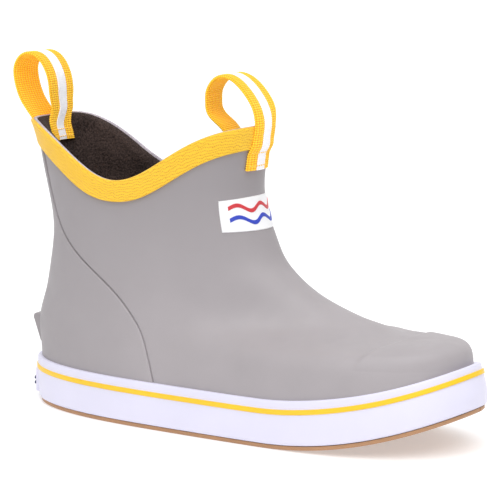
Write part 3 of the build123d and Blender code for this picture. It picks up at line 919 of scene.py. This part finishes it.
def stitches(name, loop, rows, count, lift):
    """Rows of short plump stitches across a strap; each row is a distance along the loop."""
    ring, spine = 10, 9
    vertices, faces = [], []
    pitch = (WEB_WIDTH - 2) / count
    angle = np.linspace(0, 2 * np.pi, ring, endpoint=False)
    way = np.linspace(-1, 1, spine)
    for s in rows:
        for i in range(count):
            y = -WEB_WIDTH / 2 + 1 + (i + 0.5) * pitch + way * 0.4 * pitch
            over = np.where(np.abs(y) < WEB_STRIPE / 2 + 0.3, STRIPE_PROUD, 0.0)
            arch = lift + over + 0.16 * (1 - way**2)
            fat = 0.26 * np.sqrt(1.02 - way**2)
            a, b = np.meshgrid(angle, np.arange(spine), indexing="ij")
            points = loop.skin(s + fat[b] * np.cos(a), y[b], arch[b] + fat[b] * np.sin(a) - 0.16)
            start = sum(len(v) for v in vertices)
            r, c = np.meshgrid(np.arange(ring), np.arange(spine - 1), indexing="ij")
            quad = [(r, c), (r, c + 1), (r + 1, c + 1), (r + 1, c)]
            faces.append(start + np.stack([(p % ring) * spine + q for p, q in quad], -1).reshape(-1, 4))
            k = np.arange(ring // 2 - 1)
            for end in (0, spine - 1):
                cap = [k, k + 1, ring - 2 - k, ring - 1 - k]
                faces.append(start + np.stack([p * spine + end for p in cap], -1))
            vertices.append(points.reshape(-1, 3))
    faces = np.concatenate(faces)
    return mesh_object(name, place(np.concatenate(vertices)), faces, np.zeros((len(faces), 4, 2)), 80)


def along_at(loop, z, outer):
    """Distance along a loop at which its outer or inner leg is at a height."""
    s = np.linspace(0, loop.length, 4000)
    leg = s < loop.crown if outer else s > loop.crown
    return float(s[leg][np.argmin(np.abs(loop.at(s)[leg, 1] - z))])


front_rows = [along_at(front_loop, z, True) for z in (113.4, 119.4)]
rear_rows = [along_at(rear_loop, z, True) for z in (110.2, 115.8)]
rear_rows += [along_at(rear_loop, z, False) for z in (119.2, 122.2)]
for end, loop, rows in (("front", front_loop, front_rows), ("rear", rear_loop, rear_rows)):
    sewn = stitches(f"{end}_tail_stitches", loop, rows, 9, WEB_T / 2 + 0.1)
    finish_piece(sewn, thread, "yellow_thread", "boot", f"{end}_strap_stitches")

# ---- heel: kick tab and badge ----
TAB_ROOT, TAB_MIDDLE, TAB_HALF, TAB_EDGE = 6.5, 31, 8.0, 0.8
TAB = [(TAB_ROOT, 25.8, 0), (2.0, 25.8, 0.5), (-2.0, 36.9, 0.5), (-1.5, 38.2, 0.4), (TAB_ROOT, 39.2, 0)]
tab_profile = dense(rounded(TAB, 5), 0.8)
tab_y = edge_spaced(24, 0.1, 6) * TAB_HALF
tab_edge = np.clip((np.abs(tab_y) - (TAB_HALF - TAB_EDGE)) / TAB_EDGE, 0, 1)
tab_size = 0.92 + 0.08 * np.sqrt(1 - tab_edge**2)
tab_loops = []
for x, z in tab_profile:
    tab_loops.append(np.stack([TAB_ROOT + (x - TAB_ROOT) * tab_size + 0.012 * tab_y**2, tab_y,
                               TAB_MIDDLE + (z - TAB_MIDDLE) * tab_size], -1))
kick_tab = swept("heel_kick_ledge", np.array(tab_loops), False, tab_y, around(tab_profile), 50)
finish_piece(kick_tab, grey_rubber, "grey_rubber", "boot", "heel_kick_tab")


def heel_plate(name, half, low, high, inner, outer, corner):
    """Plate on the back of the foxing with rounded corners and an eased edge."""
    turns = np.linspace(-0.16, 0.16, 3000)
    across = last(0 * turns, turns)[:, 1]
    share = np.linspace(-1, 1, 90)
    turn = np.interp(share * half, across[::-1], turns[::-1])
    y = share * half
    cut = corner - np.sqrt(np.clip(corner**2 - np.clip(np.abs(y) - (half - corner), 0, corner)**2, 0, None))
    up = np.linspace(0, 1, 36)
    base, normal = last(0 * turn, turn), outward(0 * turn + 1e-3, turn)
    normal[:, 2] = 0
    normal = unit(normal)
    rows = []
    for skin in (True, False):
        for u in (up if skin else up[::-1]):
            z = low + cut + u * (high - low - 2 * cut)
            away = np.minimum(np.minimum(u, 1 - u) * (high - low), half - np.abs(y) + 0.02)
            ease = np.sqrt(np.clip(1 - np.clip(1 - away / 0.5, 0, 1)**2, 0, 1))
            offset = inner + (outer - inner) * (0.35 + 0.65 * ease) if skin else np.full_like(y, inner)
            p = base + offset[:, None] * normal
            p[:, 2] = z
            rows.append(p)
    return swept(name, np.array(rows), False, y, tight=50)


badge = heel_plate("heel_badge_plate", 11, 2.9, 14.2, FOXING_T - 0.4, FOXING_T + 1.0, 2.2)
finish_piece(badge, white_rubber, "white_rubber", "boot", "heel_badge")
BAR_HEIGHT = 1.3
bars = [heel_plate(f"badge_bar_{i}", half, z, z + BAR_HEIGHT, FOXING_T + 0.8, FOXING_T + 1.7, 0.5)
        for i, (half, z) in enumerate(((6.0, 4.2), (10.2, 6.5), (10.2, 8.8)))]
for bar in bars:
    bar.data.materials.append(navy_rubber)
    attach(bar, "boot")
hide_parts("badge_marks")

# ---- CAD pieces that stay: the hidden construction ----
for node, material in (("upper_backing", backing_cloth), ("toe_puff", stiffener), ("heel_counter", stiffener),
                       ("midsole_filler", foam), ("insole_board", fibre_board)):
    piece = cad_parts[node]
    piece.data.materials.clear()
    piece.data.materials.append(material)


# ---- floor, light and camera ----
def floor_finish():
    """Pale matt light table."""
    f = Finish("light_table", Emission_Strength=0.4)
    grain = f.noise(0.004, 3.0)
    tone = f.ramp(grain, [(0.3, (214, 214, 215)), (0.7, (218, 218, 219))])
    f.shader.inputs["Emission Color"].default_value = (1.0, 1.0, 1.0, 1.0)
    return f.done(tone, f.spread(grain, 0.3, 0.7, 0.75, 0.85), f.bump(grain, 0.00002))


bpy.ops.mesh.primitive_plane_add(size=24, location=(0, 0, GROUND))
floor = bpy.context.object
floor.name = "studio_floor"
floor.data.materials.append(floor_finish())

world = bpy.data.worlds.new("studio")
scene.world = world
world.use_nodes = True
sky = world.node_tree
sky.nodes["Background"].inputs[0].default_value = (1.0, 1.0, 1.0, 1.0)
# The light of the surroundings is stronger from the side of the backdrop.
direction = sky.nodes.new("ShaderNodeTexCoord")
toward_backdrop = sky.nodes.new("ShaderNodeVectorMath")
toward_backdrop.operation = "DOT_PRODUCT"
toward_backdrop.inputs[1].default_value = (-0.53, 0.85, 0.0)
sky.links.new(direction.outputs["Generated"], toward_backdrop.inputs[0])
strength = sky.nodes.new("ShaderNodeMapRange")
for i, value in enumerate((0.2, 1.0, 0.32, 1.05), 1):
    strength.inputs[i].default_value = value
sky.links.new(toward_backdrop.outputs["Value"], strength.inputs[0])
sky.links.new(strength.outputs[0], sky.nodes["Background"].inputs[1])


def soft_sun(name, towards, power, spread):
    """Very wide distant light that comes from a direction."""
    light = bpy.data.lights.new(name, "SUN")
    light.energy = power
    light.angle = math.radians(spread)
    holder = bpy.data.objects.new(name, light)
    holder.rotation_euler = Vector(towards).to_track_quat("Z", "Y").to_euler()
    scene.collection.objects.link(holder)


soft_sun("overhead_dome", (0.2, 0.3, 1.0), 0.8, 80)
soft_sun("front_softbox", (0.22, -0.5, 0.85), 2.1, 60)

camera_data = bpy.data.cameras.new("camera")
camera_data.sensor_width = 36.0
camera_data.lens = 167.112
camera = bpy.data.objects.new("camera", camera_data)
scene.collection.objects.link(camera)
AZIMUTH, ELEVATION, DISTANCE = math.radians(32.0), math.radians(9.4), 1.0
TARGET = Vector((0.0004, 0.0, 0.0760))
level_way = math.cos(ELEVATION)
back = Vector((math.sin(AZIMUTH) * level_way, -math.cos(AZIMUTH) * level_way, math.sin(ELEVATION)))
camera.location = TARGET + DISTANCE * back
camera.rotation_euler = (math.pi / 2 - ELEVATION, 0, AZIMUTH)
camera_data.clip_start, camera_data.clip_end = 0.05, 50
scene.camera = camera
scene.view_settings.view_transform = "Standard"
